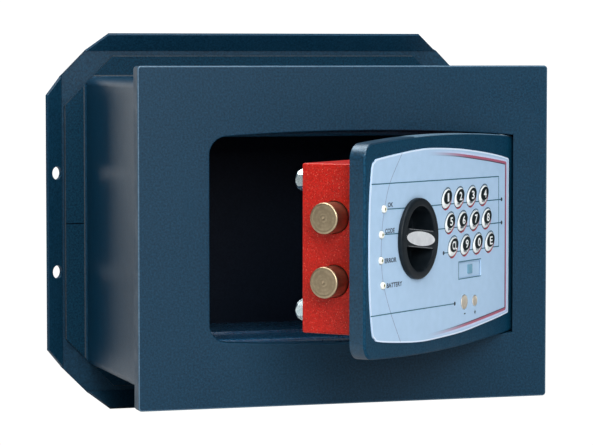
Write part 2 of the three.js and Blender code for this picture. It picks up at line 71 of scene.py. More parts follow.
BOLT_LEVELS = {"upper": 20.0, "lower": -22.5}

FIXED = Matrix.Translation((0, -DEPTH * MM, 0))
HINGE = Matrix.Translation((PIVOT[0] * MM, PIVOT[1] * MM, 0))
ON_DOOR = FIXED @ HINGE @ Matrix.Rotation(math.radians(DOOR_ANGLE), 4, "Z") @ HINGE.inverted()


# ---------------------------------------------------------------- outlines, counter-clockwise
def arc(cx, cy, r, start, end, steps):
    angles = [math.radians(start + (end - start) * i / steps) for i in range(steps + 1)]
    return [(cx + r * math.cos(a), cy + r * math.sin(a)) for a in angles]


def circle(cx, cy, r, n=48):
    return arc(cx, cy, r, 0, 360, n)[:-1]


def turned(points, angle, cx=0.0, cy=0.0):
    """The points turned by an angle in radians about the origin, which then moves to cx, cy."""
    c, s = math.cos(angle), math.sin(angle)
    return [(cx + u * c - v * s, cy + u * s + v * c) for u, v in points]


def ellipse(cx, cy, a, b, degrees, n=40):
    return turned([(a * u, b * v) for u, v in circle(0, 0, 1, n)], math.radians(degrees), cx, cy)


def round_rect(x0, y0, x1, y1, r, n=5):
    return (
        arc(x1 - r, y1 - r, r, 0, 90, n) + arc(x0 + r, y1 - r, r, 90, 180, n)
        + arc(x0 + r, y0 + r, r, 180, 270, n) + arc(x1 - r, y0 + r, r, 270, 360, n)
    )


def centred_rect(half, less, r, n):
    """A rounded rectangle about the origin, smaller than half on every side by less."""
    w, h = half[0] - less, half[1] - less
    return round_rect(-w, -h, w, h, r, n)


def mitre(before, here, after, sharpest=0.5):
    """The vector that moves a corner to the left of its path by one."""
    a, b = (here - before).normalized(), (after - here).normalized()
    m = Vector((-a.y - b.y, a.x + b.x))
    return m / max(sharpest, m.dot(Vector((-a.y, a.x))))


def offset(points, d):
    """The outline moved inwards by d, or outwards where d is negative."""
    pts = [Vector(p) for p in points]
    following = pts[1:] + pts[:1]
    return [tuple(p + mitre(pts[i - 1], p, following[i]) * d) for i, p in enumerate(pts)]


def soften(points, r, steps=5):
    """Rounds each corner that turns by more than 25 degrees."""
    out = []
    for i, p in enumerate(points):
        here, before, after = Vector(p), Vector(points[i - 1]), Vector(points[(i + 1) % len(points)])
        a, b = here - before, after - here
        if a.angle(b) < math.radians(25):
            out.append(p)
            continue
        start = here - a.normalized() * min(r, a.length * 0.49)
        end = here + b.normalized() * min(r, b.length * 0.49)
        for k in range(steps + 1):
            t = k / steps
            out.append(tuple(start * (1 - t) ** 2 + here * 2 * t * (1 - t) + end * t * t))
    return out


def through(points, steps=10):
    """A smooth curve through the points, from the first to the last."""
    pts = [Vector(p) for p in [points[0], *points, points[-1]]]
    out = []
    for p0, p1, p2, p3 in zip(pts, pts[1:], pts[2:], pts[3:]):
        for k in range(steps):
            t = k / steps
            out.append(tuple(0.5 * (
                2 * p1 + (p2 - p0) * t + (2 * p0 - 5 * p1 + 4 * p2 - p3) * t**2
                + (3 * p1 - p0 - 3 * p2 + p3) * t**3)))
    return out + [points[-1]]


def barrel(left, right, half_corner, half_mid, z, corner, full_right, steps=36):
    """Straight sides, bowed top and bottom, left corners rounded. The bow is set by full_right."""
    mid, half = (left + full_right) / 2, (full_right - left) / 2
    bow = half_mid - half_corner

    def height(x):
        return half_corner + bow * (1 - ((x - mid) / half) ** 2)

    cx = left + corner
    tilt = math.atan(-2 * bow * (cx - mid) / half**2)
    cz = height(cx) - corner / math.cos(tilt)
    top = [
        (cx + corner * math.cos(a), cz + corner * math.sin(a))
        for a in (math.pi - (math.pi / 2 - tilt) * i / 12 for i in range(13))
    ]
    start = top[-1][0]
    top += [(x, height(x)) for x in (start + (right - start) * i / steps for i in range(1, steps + 1))]
    return [(x, h + z) for x, h in top[::-1] + [(x, -h) for x, h in top]]


def arris(front, back, r_front, r_back, n=4):
    """(inset, depth) pairs round the front arris, along the side and round the back arris."""
    quarter = [math.pi / 2 * i / n for i in range(n + 1)]
    return [(r_front * (1 - math.sin(a)), front + r_front * (1 - math.cos(a))) for a in quarter] + [
        (r_back * (1 - math.cos(a)), back - r_back * (1 - math.sin(a))) for a in quarter
    ]


# ---------------------------------------------------------------- mesh building
def facing(u, v, w):
    """Outline in x, z and depth along y."""
    return (u, w, v)


def sideways(u, v, w):
    """Outline in y, z and depth along x."""
    return (w, u, v)


class Form:
    """A mesh in the making. place turns an outline's point and its depth into x, y, z."""

    def __init__(self, place=facing):
        self.place, self.verts, self.faces, self.slots = place, [], [], []

    def ring(self, points, w):
        first = len(self.verts)
        self.verts += [self.place(u, v, w) for u, v in points]
        return list(range(first, len(self.verts)))

    def face(self, corners, slot=0):
        self.faces.append(corners)
        self.slots.append(slot)

    def loft(self, a, b, slot=0):
        for i in range(len(a)):
            self.face((a[i - 1], a[i], b[i], b[i - 1]), slot)

    def cap(self, loops, slot=0):
        """loops holds (outline, its ring of vertices) for the edge, then for each hole."""
        flat = [i for _, ring in loops for i in ring]
        for tri in tessellate_polygon([[Vector((u, v, 0)) for u, v in points] for points, _ in loops]):
            self.face(tuple(flat[i] for i in tri), slot)

    def walls(self, outlines, slots=()):
        """Rings for the (outline, depth) pairs, joined up. slots gives a row's material where it isn't 0."""
        rings = [(points, self.ring(points, w)) for points, w in outlines]
        for k, (a, b) in enumerate(zip(rings, rings[1:])):
            self.loft(a[1], b[1], slots[k] if k < len(slots) else 0)
        return rings

    def slab(self, outlines, holes=(), slots=(), slot=0):
        """outlines: (outline, depth) from front to back. holes: lists of the same, whose last entry is a
        floor unless it reaches the slab's back. slots: materials of the first rows."""
        rings = self.walls(outlines, slots or (slot,) * len(outlines))
        front, back = [rings[0]], [rings[-1]]
        for hole in holes:
            walls = self.walls(hole)
            front.append(walls[0])
            if hole[-1][1] >= outlines[-1][1]:
                back.append(walls[-1])
            else:
                self.cap([walls[-1]])
        self.cap(front, slot)
        self.cap(back, slot)

    def plate(self, outline, rows, holes=(), slot=0):
        """rows: (inset, depth). holes: (outline, rows), where inset opens the hole out."""
        self.slab(
            [(offset(outline, d), w) for d, w in rows],
            [[(offset(points, -d), w) for d, w in hole_rows] for points, hole_rows in holes],
            slot=slot)

    def lathe(self, cu, cv, profile, n=64, slot=0):
        """profile: (radius, depth) from the front centre outwards and back."""
        self.slab([(circle(cu, cv, r, n), w) for r, w in profile], slot=slot)

    def bar(self, profile, half_length, side, slots=None, ends=0):
        """A bar of an (out, y) profile along one side of the safe, with its ends at half_length(out).
        slots gives the material of the long face that ends at a profile point, where it isn't 0."""
        rings = []
        for sign in (-1, 1):
            first = len(self.verts)
            self.verts += [beside(side, o, y, sign * half_length(o)) for o, y in profile]
            rings.append(list(range(first, len(self.verts))))
        a, b = rings
        for i in range(len(a)):
            self.face((a[i - 1], a[i], b[i], b[i - 1]), (slots or {}).get(i, 0))
        for ring in rings:
            self.face(tuple(ring), ends)

    def join(self, other):
        shift = len(self.verts)
        self.verts += other.verts
        self.faces += [tuple(i + shift for i in corners) for corners in other.faces]
        self.slots += other.slots

    def rails(self, left, right, w, slot=0, closed=False):
        """A flat strip between two lines of points."""
        l, r = self.ring(left, w), self.ring(right, w)
        for i in range(0 if closed else 1, len(l)):
            self.face((l[i - 1], l[i], r[i], r[i - 1]), slot)

    def ribbon(self, path, width, w, slot=0, closed=False):
        """A flat line of the given width along a path in the outline's plane."""
        pts = [Vector(p) for p in path]
        left, right = [], []
        for i, p in enumerate(pts):
            before = pts[i - 1] if i or closed else p * 2 - pts[1]
            after = pts[(i + 1) % len(pts)] if i + 1 < len(pts) or closed else p * 2 - pts[-2]
            m = mitre(before, p, after) * width / 2
            left.append(tuple(p + m))
            right.append(tuple(p - m))
        self.rails(left, right, w, slot, closed)

    def blot(self, outline, w, slot=0):
        self.cap([(outline, self.ring(outline, w))], slot)

    def text(self, words, x, z, height, w, length, heavy=0.0, slot=0):
        """Flat letters that stand on z and fill length from x. heavy thickens the strokes."""
        curve = bpy.data.curves.new("words", "FONT")
        curve.body, curve.size, curve.resolution_u, curve.offset = words, 1.0, 3, heavy
        temp = bpy.data.objects.new("words", curve)
        mesh = bpy.data.meshes.new_from_object(temp)
        tall = height / 0.73
        left, right = min(v.co.x for v in mesh.vertices), max(v.co.x for v in mesh.vertices)
        wide = length / (right - left)
        first = len(self.verts)
        self.verts += [self.place(x + (v.co.x - left) * wide, z + v.co.y * tall, w) for v in mesh.vertices]
        for polygon in mesh.polygons:
            self.face(tuple(first + i for i in polygon.vertices), slot)
        bpy.data.objects.remove(temp)
        bpy.data.meshes.remove(mesh)
        bpy.data.curves.remove(curve)

    def build(self, name, matrix, body, materials, replaced=(), closed=True, smooth=38):
        """The finished object on its body. An open form is flat printing and keeps its faces' winding."""
        mesh = bpy.data.meshes.new(name)
        mesh.from_pydata([Vector(v) * MM for v in self.verts], [], self.faces)
        for material in materials:
            mesh.materials.append(material)
        mesh.polygons.foreach_set("material_index", self.slots)
        bm = bmesh.new()
        bm.from_mesh(mesh)
        bmesh.ops.remove_doubles(bm, verts=bm.verts, dist=1e-7)
        bmesh.ops.dissolve_degenerate(bm, edges=bm.edges, dist=1e-7)
        if closed:
            bmesh.ops.recalc_face_normals(bm, faces=bm.faces)
        bm.to_mesh(mesh)
        bm.free()
        mesh.shade_smooth()
        mesh.set_sharp_from_angle(angle=math.radians(smooth))
        obj = bpy.data.objects.new(name, mesh)
        bpy.context.scene.collection.objects.link(obj)
        obj.matrix_world = matrix
        if closed:
            weighted = obj.modifiers.new("weighted", "WEIGHTED_NORMAL")
            weighted.keep_sharp, weighted.weight = True, 80
        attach(obj, body)
        if replaced:
            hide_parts(*replaced)
        return obj


# ---------------------------------------------------------------- materials
def srgb(r, g, b):
    def linear(c):
        return c / 255 / 12.92 if c <= 10 else ((c / 255 + 0.055) / 1.055) ** 2.4

    return (linear(r), linear(g), linear(b), 1.0)


class Shader:
    """A Principled material with helpers that wire procedural nodes into it."""

    def __init__(self, name, centre=(0, 0, 0), **sockets):
        self.material = bpy.data.materials.new(name)
        self.material.use_nodes = True
        self.tree = self.material.node_tree
        self.bsdf = self.tree.nodes["Principled BSDF"]
        for socket, value in sockets.items():
            self.bsdf.inputs[socket.replace("_", " ")].default_value = value
        coordinates = self.add("ShaderNodeTexCoord").outputs["Object"]
        shift = self.add("ShaderNodeVectorMath", operation="SUBTRACT")
        shift.inputs[1].default_value = tuple(c * MM for c in centre)
        self.link(coordinates, shift.inputs[0])
        self.at = shift.outputs[0]
        self.normal = None

    def add(self, kind, **settings):
        node = self.tree.nodes.new(kind)
        for key, value in settings.items():
            setattr(node, key, value)
        return node

    def link(self, a, b):
        self.tree.links.new(a, b)

    def stretched(self, x, y, z):
        node = self.add("ShaderNodeVectorMath", operation="MULTIPLY")
        node.inputs[1].default_value = (x, y, z)
        self.link(self.at, node.inputs[0])
        return node.outputs[0]

    def noise(self, size, detail=2.0, rough=0.5, at=None):
        """Noise whose features are about size millimetres."""
        node = self.add("ShaderNodeTexNoise")
        node.inputs["Scale"].default_value = 1 / (size * MM)
        node.inputs["Detail"].default_value = detail
        node.inputs["Roughness"].default_value = rough
        self.link(at or self.at, node.inputs["Vector"])
        return node.outputs["Fac"]

    def rings(self, size, axis, twist=0.0):
        """Rings about an axis through the centre, size millimetres apart."""
        node = self.add("ShaderNodeTexWave", wave_type="RINGS", rings_direction=axis)
        node.inputs["Scale"].default_value = 0.314 / (size * MM)
        node.inputs["Distortion"].default_value = twist
        self.link(self.at, node.inputs["Vector"])
        return node.outputs["Fac"]

    def ramp(self, value, low, high, to_low=0.0, to_high=1.0):
        node = self.add("ShaderNodeMapRange")
        for socket, v in zip(node.inputs[1:5], (low, high, to_low, to_high)):
            socket.default_value = v
        self.link(value, node.inputs[0])
        return node.outputs[0]

    def mix(self, factor, a, b):
        node = self.add("ShaderNodeMix", data_type="RGBA")
        for socket, value in ((node.inputs[0], factor), (node.inputs[6], a), (node.inputs[7], b)):
            if isinstance(value, (tuple, float)):
                socket.default_value = value
            else:
                self.link(value, socket)
        return node.outputs[2]

    def colour(self, value):
        self.link(value, self.bsdf.inputs["Base Color"])

    def roughness(self, value, low, high, source=(0.3, 0.7)):
        self.link(self.ramp(value, *source, low, high), self.bsdf.inputs["Roughness"])

    def bump(self, height, depth):
        """Relief of about depth millimetres, added to what is there."""
        node = self.add("ShaderNodeBump")
        node.inputs["Strength"].default_value = 1.0
        node.inputs["Distance"].default_value = depth * MM
        self.link(height, node.inputs["Height"])
        if self.normal is not None:
            self.link(self.normal, node.inputs["Normal"])
        self.normal = node.outputs["Normal"]
        self.link(self.normal, self.bsdf.inputs["Normal"])


def powder_coat(
        name, deep, light, rough, peel=1.0, patchy=1.0, glints=0.0, glint_colour=(1, 1, 1, 1), **sockets):
    """Baked powder paint: orange-peel relief, a fine grain in the colour and faint rubbed patches."""
    s = Shader(name, **sockets)
    grain = s.noise(1.4, 3.0, 0.7)
    cloud = s.noise(45, 3.0, 0.5)
    base = s.mix(s.ramp(grain, 0.36, 0.64), deep, light)
    base = s.mix(s.ramp(cloud, 0.3, 0.7, 0.0, 0.35), base, s.mix(0.5, base, light))
    # Dots in a lighter colour, where asked: painted glints.
    if glints:
        dots = s.noise(0.85, 1.0, 0.4)
        base = s.mix(s.ramp(dots, 0.66, 0.74, 0.0, glints), base, glint_colour)
    s.colour(base)
    s.roughness(s.noise(12, 4.0, 0.6), rough - 0.05 * patchy, rough + 0.07 * patchy)
    s.bump(s.noise(1.5, 1.0, 0.4), 0.05 * peel)
    s.bump(s.noise(0.5, 2.0, 0.5), 0.012 * peel)
    return s.material


def plastic(name, colour, shade, rough, grain=0.35, depth=0.008, **sockets):
    """Moulded or printed plastic with a fine texture and slight changes of tone."""
    s = Shader(name, **sockets)
    s.colour(s.mix(s.ramp(s.noise(6, 4.0, 0.6), 0.3, 0.7), colour, shade))
    s.roughness(s.noise(3, 3.0, 0.6), rough - 0.05, rough + 0.08)
    s.bump(s.noise(grain, 2.0, 0.5), depth)
    return s.material


def turned_metal(name, colour, shade, rough, centre, axis, pitch=0.35, depth=0.006):
    """Metal faced on a lathe: concentric tool marks about centre, with a few deeper rings."""
    s = Shader(name, centre=centre, Metallic=1.0)
    fine = s.rings(pitch, axis)
    broad = s.rings(pitch * 5.5, axis, twist=0.6)
    tone = s.mix(s.ramp(s.noise(4, 4.0, 0.65), 0.3, 0.7), colour, shade)
    s.colour(s.mix(s.ramp(broad, 0.2, 1.0, 0.0, 0.5), tone, shade))
    s.roughness(fine, rough - 0.06, rough + 0.08, (0.0, 1.0))
    s.bump(fine, depth)
    s.bump(broad, depth * 2)
    return s.material


def brushed_metal(name, colour, shade, rough, along=(1, 0.04, 1), metallic=1.0):
    """Sheet or bar metal with a directional grain and cloudy plating."""
    s = Shader(name, Metallic=metallic)
    grain = s.noise(0.4, 3.0, 0.6, at=s.stretched(*along))
    s.colour(s.mix(s.ramp(s.noise(7, 4.0, 0.6), 0.3, 0.7), colour, shade))
    s.roughness(grain, rough - 0.07, rough + 0.1)
    s.bump(grain, 0.006)
    return s.material


def fading_ink(name, ink, ground):
    """Ink that fades into the film's colour by the mesh's own fade value."""
    s = Shader(name)
    fade = s.add("ShaderNodeAttribute", attribute_name="fade")
    lighter = tuple(c * 1.12 for c in ink[:3]) + (1.0,)
    ink = s.mix(s.ramp(s.noise(5, 3.0, 0.6), 0.3, 0.7), ink, lighter)
    s.colour(s.mix(fade.outputs["Fac"], ground, ink))
    s.roughness(s.noise(3, 3.0, 0.6), 0.38, 0.48)
    s.bump(s.noise(0.3, 2.0, 0.5), 0.004)
    return s.material


# Paint on the safe and the door. The arris and cut ones are thin lines on folds and arrises; the arris one is
# a lighter copy of the slate paint, a painted highlight along with some edge wear.
slate = powder_coat(
    "slate_powder", (0.001, 0.015, 0.033, 1), (0.005, 0.036, 0.070, 1), 0.42, Specular_IOR_Level=0.17)
# A darker copy of the slate paint for the body's outer walls: painted shade.
slate_body_shaded = powder_coat(
    "slate_body_painted_shade", (0.0002, 0.010, 0.024, 1), (0.002, 0.030, 0.062, 1), 0.36, patchy=0.2,
    Specular_IOR_Level=0.16, Specular_Tint=(0.66, 0.88, 1.0, 1))
arris_highlight_and_wear_paint = powder_coat(
    "arris_painted_highlight_and_wear", (0.03, 0.08, 0.13, 1), (0.07, 0.13, 0.19, 1), 0.4, Specular_IOR_Level=0.4)
slate_cut = powder_coat(
    "slate_cut_edge", (0.012, 0.024, 0.036, 1), (0.045, 0.054, 0.064, 1), 0.42, Specular_IOR_Level=0.2)
# A darker, duller copy of the slate paint for the tabs on the body's back: painted shade.
slate_tab_shaded = powder_coat(
    "slate_tab_painted_shade", (0.0002, 0.010, 0.022, 1), (0.002, 0.032, 0.064, 1), 0.46, Specular_IOR_Level=0.08)
seam_dark = powder_coat(
    "seam_shadow", (0.0002, 0.002, 0.005, 1), (0.0005, 0.004, 0.008, 1), 0.5, Specular_IOR_Level=0.02)
# A far darker copy of the slate paint for the inside of the body and the rear plate's part within it: painted
# shade.
slate_inside_shade = powder_coat(
    "slate_inside_shade", (0.001, 0.0045, 0.012, 1), (0.004, 0.009, 0.020, 1), 0.5, Specular_IOR_Level=0.1)
# A lighter, glossier copy of the slate paint for the bottom door stop; its lighter colour is a painted
# highlight.
sill_highlight_paint = powder_coat(
    "sill_painted_highlight", (0.0003, 0.022, 0.058, 1), (0.008, 0.060, 0.125, 1), 0.25, Specular_IOR_Level=1.0)
door_paint = powder_coat(
    "door_powder", (0.0003, 0.018, 0.040, 1), (0.004, 0.047, 0.092, 1), 0.46, Specular_IOR_Level=0.1)
door_rim = powder_coat(
    "door_rim_powder", (0.0003, 0.007, 0.016, 1), (0.005, 0.034, 0.068, 1), 0.36,
    Specular_IOR_Level=0.75, Specular_Tint=(0.6, 0.82, 1.0, 1))
# A much lighter copy of the door paint for the upward-facing faces of the door's edge: painted sheen.
door_top_sheen = powder_coat(
    "door_top_painted_sheen", (0.05, 0.10, 0.15, 1), (0.10, 0.17, 0.23, 1), 0.4, Specular_IOR_Level=0.4)
# The red paint's light dots are painted glints.
red_paint = powder_coat(
    "red_powder", (0.24, 0.004, 0.002, 1), (0.42, 0.009, 0.005, 1), 0.38, peel=3.2,
    glints=0.6, glint_colour=(0.8, 0.2, 0.13, 1), Specular_IOR_Level=0.4, Specular_Tint=(1.0, 0.72, 0.62, 1))

# The label and its inks.
FILM = srgb(165, 193, 220)
label_film = plastic("label_film", srgb(161, 190, 217), srgb(168, 196, 223), 0.42, grain=0.3, depth=0.004)
# A pale line round the label's edge: painted highlight.
label_edge_highlight = plastic("label_edge_painted_highlight", srgb(205, 220, 240), srgb(214, 226, 243), 0.4)
teal_ink = plastic("teal_ink", srgb(20, 84, 106), srgb(30, 96, 118), 0.45)
dark_ink = plastic("dark_ink", srgb(14, 26, 46), srgb(24, 38, 58), 0.5)
plum_ink = plastic("plum_ink", srgb(104, 104, 138), srgb(118, 118, 150), 0.5)
crescent_ink = plastic("crescent_ink", srgb(150, 34, 54), srgb(168, 46, 64), 0.4)
rib_ink = plastic("rib_ink", srgb(92, 134, 154), srgb(106, 148, 168), 0.5)
outline_ink = plastic("outline_ink", srgb(26, 52, 62), srgb(40, 68, 78), 0.5)
stripe_ink = fading_ink("stripe_ink", srgb(158, 84, 106), FILM)
stripe_line_ink = fading_ink("stripe_line_ink", srgb(66, 58, 78), FILM)
border_ink = fading_ink("border_ink", srgb(184, 196, 224), FILM)

# Moulded pieces.
key_white = plastic("key_white", srgb(208, 213, 213), srgb(220, 224, 223), 0.22, grain=1.2, depth=0.004)
key_disc = plastic("key_disc", srgb(2, 16, 20), srgb(6, 24, 28), 0.4, Specular_IOR_Level=0.15)
digit_ink = plastic("digit_ink", srgb(222, 226, 226), srgb(235, 238, 238), 0.35)
legend_ink = plastic("legend_ink", srgb(34, 48, 64), srgb(52, 66, 82), 0.5)
knob_black = plastic(
    "knob_black", (0.004, 0.007, 0.010, 1), (0.009, 0.013, 0.017, 1), 0.36, grain=0.6, depth=0.02,
    Specular_IOR_Level=0.14)
# A grey much lighter than the knob's black, for its ridges: painted highlight.
knob_ridge_highlight = plastic("knob_ridge_highlight", (0.10, 0.11, 0.12, 1), (0.17, 0.18, 0.19, 1), 0.3)
lamp_white = plastic("lamp_white", srgb(226, 226, 214), srgb(238, 238, 228), 0.25)
lamp_core = plastic("lamp_core", srgb(108, 112, 84), srgb(132, 134, 104), 0.2)
board_green = plastic("board_green", srgb(38, 92, 52), srgb(50, 108, 62), 0.45, grain=0.8, depth=0.03)
tray_black = plastic("tray_black", (0.014, 0.015, 0.017, 1), (0.024, 0.025, 0.028, 1), 0.5)
cell_wrap = plastic("cell_wrap", (0.02, 0.022, 0.026, 1), (0.05, 0.052, 0.056, 1), 0.3)

# Bare and plated metal.
brass = brushed_metal("contact_brass", (0.66, 0.53, 0.38, 1), (0.56, 0.44, 0.31, 1), 0.42)
zinc = brushed_metal("zinc_plate", (0.90, 0.99, 1.0, 1), (0.62, 0.78, 0.80, 1), 0.24, along=(1, 1, 1))
steel = brushed_metal("mild_steel", (0.46, 0.47, 0.48, 1), (0.36, 0.37, 0.38, 1), 0.38, along=(0.05, 1, 1))
badge_silver = brushed_metal(
    "badge_silver", (0.80, 0.82, 0.84, 1), (0.62, 0.64, 0.67, 1), 0.4, along=(0.04, 1, 1), metallic=0.35)


# ---------------------------------------------------------------- front plate and body
SOCKET, SWEEP = 9.45, 9.1
OPENING = dict(left=-101, full_right=126, half_corner=71.4, half_mid=75.6, z=-1.4, corner=13)
REAR_FACE = 205
REAR_THICK = DEPTH - REAR_FACE
BODY_BACK = REAR_FACE - 0.3


def about_pin(r, depth):
    """Where a cylinder of radius r about the hinge pin stands at a depth."""
    return PIVOT[0] + math.sqrt(r**2 - (depth - PIVOT[1]) ** 2)


def beside(side, out, y, along):
    """A point out from the safe's middle on one of its sides, at a depth y and so far along that side."""
    return {
        "left": (-out, y, along), "right": (out, y, along),
        "top": (along, y, out), "bottom": (along, y, -out),
    }[side]


def front_plate():
    """The opening's right side is a hollow cylinder about the pins, which takes a row of depths."""
    edge = centred_rect(PLATE_HALF, 0, 2.5, 6)
    depths = [(0.8, 0), (0.45, 0.1), (0.15, 0.4), (0, 0.9)]
    depths += [(0, w) for w in (2, 4, 6, 8, 10, 11.4)] + [(0.2, 11.8), (0.6, PLATE_THICK)]
    opening = [(offset(barrel(right=about_pin(SOCKET, w) - 0.8 * d, **OPENING), -d), w) for d, w in depths]
    form = Form()
    # The first three rows round the outer front arris take the arris paint, lighter than the slate: a painted
    # highlight along with some edge wear.
    form.slab([(offset(edge, d), w) for d, w in arris(0, PLATE_THICK, 0.9, 0.5)], [opening], slots=(1, 1, 1))
    form.build("front_plate_coated", FIXED, "safe", [slate, arris_highlight_and_wear_paint], ["front_plate"])


TAB_OUT, TAB_BEND, TAB_WORN = 17, 2.2, 0.6
TAB_FACE = BODY_BACK - 3


def tab_profile(wall):
    """A tab turned out from the body's wall, as (out, y): the bend, the flat face and the cut edge."""
    bend = [
        (wall + TAB_BEND * (1 - math.cos(a)), TAB_FACE - TAB_BEND * (1 - math.sin(a)))
        for a in (math.pi / 2 * i / 5 for i in range(6))
    ]
    end = wall + TAB_OUT
    return [(wall - 1, TAB_FACE - TAB_BEND), *bend, (end - TAB_WORN, TAB_FACE), (end, TAB_FACE + TAB_WORN),
            (end, BODY_BACK - 0.3), (end - 0.3, BODY_BACK), (wall - 1, BODY_BACK)]


def body_shell():
    # The body's outer walls and tabs take darker copies of the slate paint, and its inside a far darker one:
    # painted shade.
    paints = [slate, slate_cut, slate_inside_shade, seam_dark, slate_tab_shaded, slate_body_shaded]
    CUT, INSIDE, SEAM, TAB, OUTSIDE = range(1, 6)
    form = Form()
    tube = centred_rect(BODY_HALF, 0, 6, 10)
    inner = centred_rect(BODY_HALF, BODY_WALL, 3, 10)
    front = PLATE_THICK + 0.1
    loops = [(tube, front), (tube, BODY_BACK), (inner, BODY_BACK), (inner, front)]
    rings = [form.ring(points, w) for points, w in loops]
    for a, b, slot in zip(rings, rings[1:] + rings[:1], (OUTSIDE, 0, INSIDE, 0)):
        form.loft(a, b, slot)
    for side in ("left", "right", "top", "bottom"):
        wall, along = BODY_HALF if side in ("left", "right") else BODY_HALF[::-1]
        form.bar(tab_profile(wall), lambda o: along - 4 - max(0, o - wall), side,
                 {6: CUT, 7: TAB, 8: CUT}, CUT)
    seam = [(-BODY_HALF[0] - TAB_OUT + TAB_WORN, -1.0), (-BODY_HALF[0] - 2.4, -1.0)]
    form.ribbon(seam, 0.8, TAB_FACE - 0.1, SEAM)
    form.build("body_shell_coated", FIXED, "safe", paints, ["body_shell"], smooth=32)


# The rear plate is an octagonal sheet with four wings bent forward. A fold is given on the sheet's back.
FOLDS = (162, 131.5)
BEND = math.radians(33)
INNER = 0.3
OUTER = INNER + REAR_THICK
WING, CHAMFER, TUCK = 15.3, 20, 0.88
WING_HOLE, HOLE_LEVELS = 5, (-37.7, 37.7)


def sheet_outline():
    out, up = FOLDS[0] - TUCK, FOLDS[1] - TUCK
    cut = CHAMFER - 2 * TUCK
    return [(out, cut - up), (out, up - cut), (out - cut, up), (cut - out, up),
            (-out, up - cut), (-out, cut - up), (cut - out, -up), (out - cut, -up)]


def wing(rear, side):
    on_flank = side in ("left", "right")
    fold, along = FOLDS if on_flank else FOLDS[::-1]
    taper = 1.12 if on_flank else 1.28

    def half_length(o):
        return along - CHAMFER - (o - fold if o < fold else taper * (o - fold))

    def bend(r):
        start = fold - OUTER * math.tan(BEND / 2)
        angles = [BEND * i / 6 for i in range(7)]
        return [(start + r * math.sin(a), REAR_FACE - INNER + r * math.cos(a)) for a in angles]

    outer = bend(OUTER)
    rear.bar(bend(INNER) + outer[::-1], half_length, side)
    ox, oy = outer[-1]

    def on_wing(s, t, w):
        """s runs out along the wing, t along the fold, and w from the wing's front face to its back."""
        o = ox + s * math.cos(BEND) - (REAR_THICK - w) * math.sin(BEND)
        y = oy - s * math.sin(BEND) - (REAR_THICK - w) * math.cos(BEND)
        return beside(side, o, y, t)

    inside, reach = -0.6, WING - OUTER * math.tan(BEND / 2)
    near, far = (half_length(ox + s * math.cos(BEND)) for s in (inside, reach))
    edge = [(inside, -near), (reach, -far), (reach, far), (inside, near)]
    holes = []
    if on_flank:
        middle = (fold + WING * math.cos(BEND) / 2 - 1 - ox) / math.cos(BEND) - 0.4
        rows = [(0.2, 0), (0.06, 0.06), (0, 0.2), (0, 2.8), (0.06, 2.94), (0.2, REAR_THICK)]
        holes = [(circle(middle, z, WING_HOLE, 40), rows) for z in HOLE_LEVELS]
    sheet = Form(on_wing)
    sheet.plate(edge, arris(0, REAR_THICK, 0.35, 0.35, 2), holes)
    rear.join(sheet)


def rear_plate():
    """The part of the sheet inside the body is let in by a hair, so that it takes the darker inside paint,
    which is painted shade.
    """
    let_in = 0.05
    inside = centred_rect(BODY_HALF, BODY_WALL + 0.2, 3, 5)
    form = Form()
    form.plate(sheet_outline(), arris(REAR_FACE, DEPTH, 0.35, 0.35, 2),
               [(inside, [(0, REAR_FACE), (0, REAR_FACE + let_in)])])
    for side in ("left", "right", "top", "bottom"):
        wing(form, side)
    piece = form.build("rear_plate_coated", FIXED, "safe", [slate, slate_inside_shade], ["rear_plate"],
                       smooth=30)
    for polygon in piece.data.polygons:
        if abs(polygon.center.y - (REAR_FACE + let_in) * MM) < 1e-5 and polygon.normal.y < -0.9:
            polygon.material_index = 1


front_plate()
body_shell()
rear_plate()


# ---------------------------------------------------------------- door plate
DOOR = dict(left=DOOR_LEFT, full_right=127.8, half_corner=70.5, half_mid=74.7, z=-1.4, corner=11.5)


def door_ring(depth, inset):
    """The door's outline at a depth. Its hinge edge sweeps round the pin and has a smaller arris."""
    return offset(barrel(right=about_pin(SWEEP, depth) + 0.75 * inset, **DOOR), inset)


def door_plate():
    FACE, RIM, TOP_SHEEN = range(3)
    rows = arris(0, DOOR_THICK, 1.6, 0.8, 5)
    depths = rows[:6] + [(0, w) for w in (2.6, 4, 6, 8, 9.5)] + rows[6:]
    pocket_floor = 2
    pocket_edge = round_rect(36, -29, 87.5, -16.3, 0.6, 3)
    lock_edge = circle(*LOCK, 4.6, 32)
    knob_edge = circle(*KNOB, KNOB_HOLE, 72)
    form = Form()
    edge = form.walls([(door_ring(w, d), w) for d, w in depths], (FACE,) + (RIM,) * 11)
    knob_hole = form.walls([(knob_edge, 0), (knob_edge, DOOR_THICK)])
    pocket = form.walls([(pocket_edge, 0), (pocket_edge, pocket_floor)])
    lock_hole = form.walls([(lock_edge, pocket_floor), (lock_edge, DOOR_THICK)])
    form.cap([edge[0], knob_hole[0], pocket[0]])
    form.cap([pocket[1], lock_hole[0]])
    form.cap([edge[-1], knob_hole[1], lock_hole[1]])
    piece = form.build("door_plate_coated", ON_DOOR, "door", [door_paint, door_rim, door_top_sheen],
                       ["door_plate"])
    # Edge faces that face upwards, on the hinge side of x = -30 mm, take the lighter top paint, a painted
    # sheen; faces at the front arris that do not face upwards take the face paint.
    for polygon in piece.data.polygons:
        if polygon.material_index == RIM and polygon.normal.z > 0.6 and polygon.center.x > -0.03:
            polygon.material_index = TOP_SHEEN
        elif polygon.center.y < 0.0016 and polygon.normal.z < 0.3:
            polygon.material_index = FACE


door_plate()

# ---------------------------------------------------------------- control label and its printing
FILM_FRONT, FILM_BACK = -0.9, -0.1
INK_Y = FILM_FRONT - 0.03


def e(distance, z):
    """A point measured from the door's free edge."""
    return (DOOR_LEFT + distance, z)


